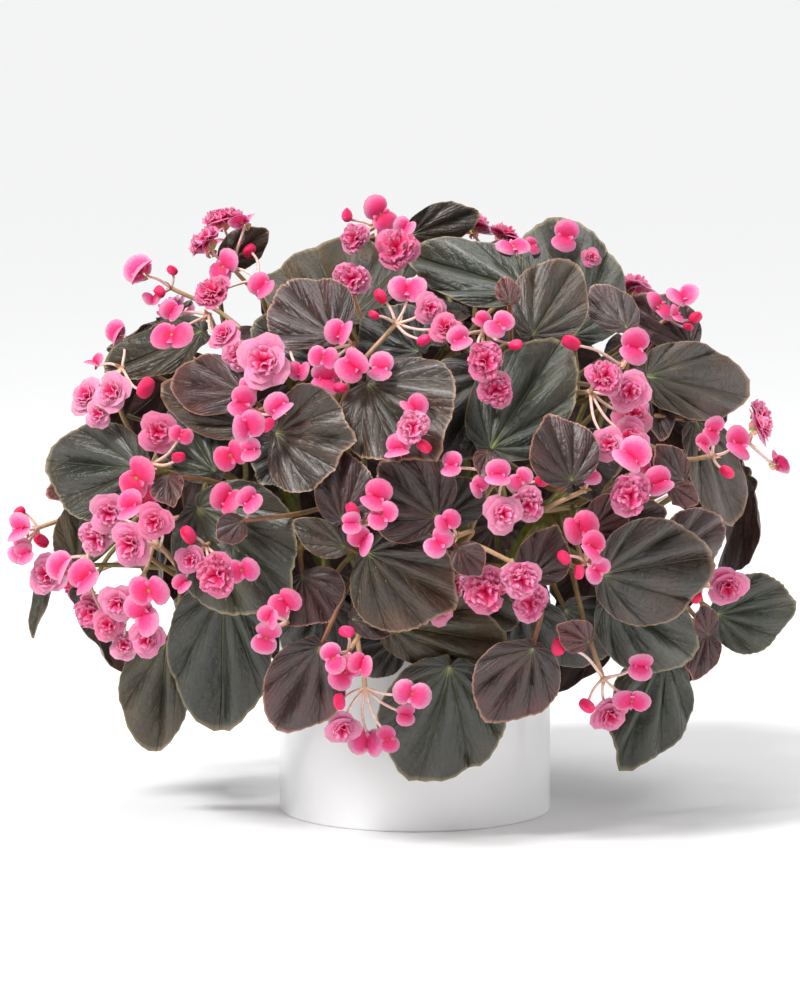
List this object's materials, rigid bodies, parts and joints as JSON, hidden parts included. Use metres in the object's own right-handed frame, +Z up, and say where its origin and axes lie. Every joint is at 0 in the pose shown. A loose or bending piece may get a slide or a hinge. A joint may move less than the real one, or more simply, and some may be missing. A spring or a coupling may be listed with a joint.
{
  "type": "potted wax begonia",
  "caption": "Dome of bronze leaves on branching stems, with sprays of double pink flowers, growing from a plain straight-sided pot.",
  "frame": {"origin": "centre of the pot's underside, on the surface that the pot stands on", "axes": "+Z up along the pot's axis; the side shown in the picture faces -Y"},
  "size_m": [0.4655, 0.4101, 0.3637],
  "materials": {
    "pot": "plain white, softly glossy",
    "soil": "dark, crumbly potting soil",
    "leaf": "waxy satin, dark bronze-green",
    "petal": "soft satin, clear pink"
  },
  "bodies": {
    "root": {"pot": "pot", "soil": "soil", "leafy_stem_1": "leaf", "leafy_stem_2": "leaf", "leafy_stem_3": "leaf", "leafy_stem_4": "leaf", "leafy_stem_5": "leaf", "leafy_stem_6": "leaf", "leafy_stem_7": "leaf", "leafy_stem_8": "leaf", "leafy_stem_9": "leaf", "flower_spray_1": "petal", "flower_spray_2": "petal", "flower_spray_3": "petal", "flower_spray_4": "petal", "flower_spray_5": "petal", "flower_spray_6": "petal", "flower_spray_7": "petal", "flower_spray_8": "petal", "flower_spray_9": "petal", "flower_spray_10": "petal", "flower_spray_11": "petal", "flower_spray_12": "petal", "flower_spray_13": "petal", "flower_spray_14": "petal", "flower_spray_15": "petal", "flower_spray_16": "petal", "flower_spray_17": "petal", "flower_spray_18": "petal", "flower_spray_19": "petal", "flower_spray_20": "petal", "flower_spray_21": "petal", "flower_spray_22": "petal", "flower_spray_23": "petal", "flower_spray_24": "petal", "flower_spray_25": "petal", "flower_spray_26": "petal", "flower_spray_27": "petal", "flower_spray_28": "petal", "flower_spray_29": "petal", "flower_spray_30": "petal", "flower_spray_31": "petal", "flower_spray_32": "petal", "flower_spray_33": "petal", "flower_spray_34": "petal", "flower_spray_35": "petal", "flower_spray_36": "petal", "flower_spray_37": "petal", "flower_spray_38": "petal", "flower_spray_39": "petal", "flower_spray_40": "petal", "flower_spray_41": "petal", "flower_spray_42": "petal", "flower_spray_43": "petal", "flower_spray_44": "petal", "flower_spray_45": "petal", "flower_spray_46": "petal", "flower_spray_47": "petal"}
  },
  "joints": []
}
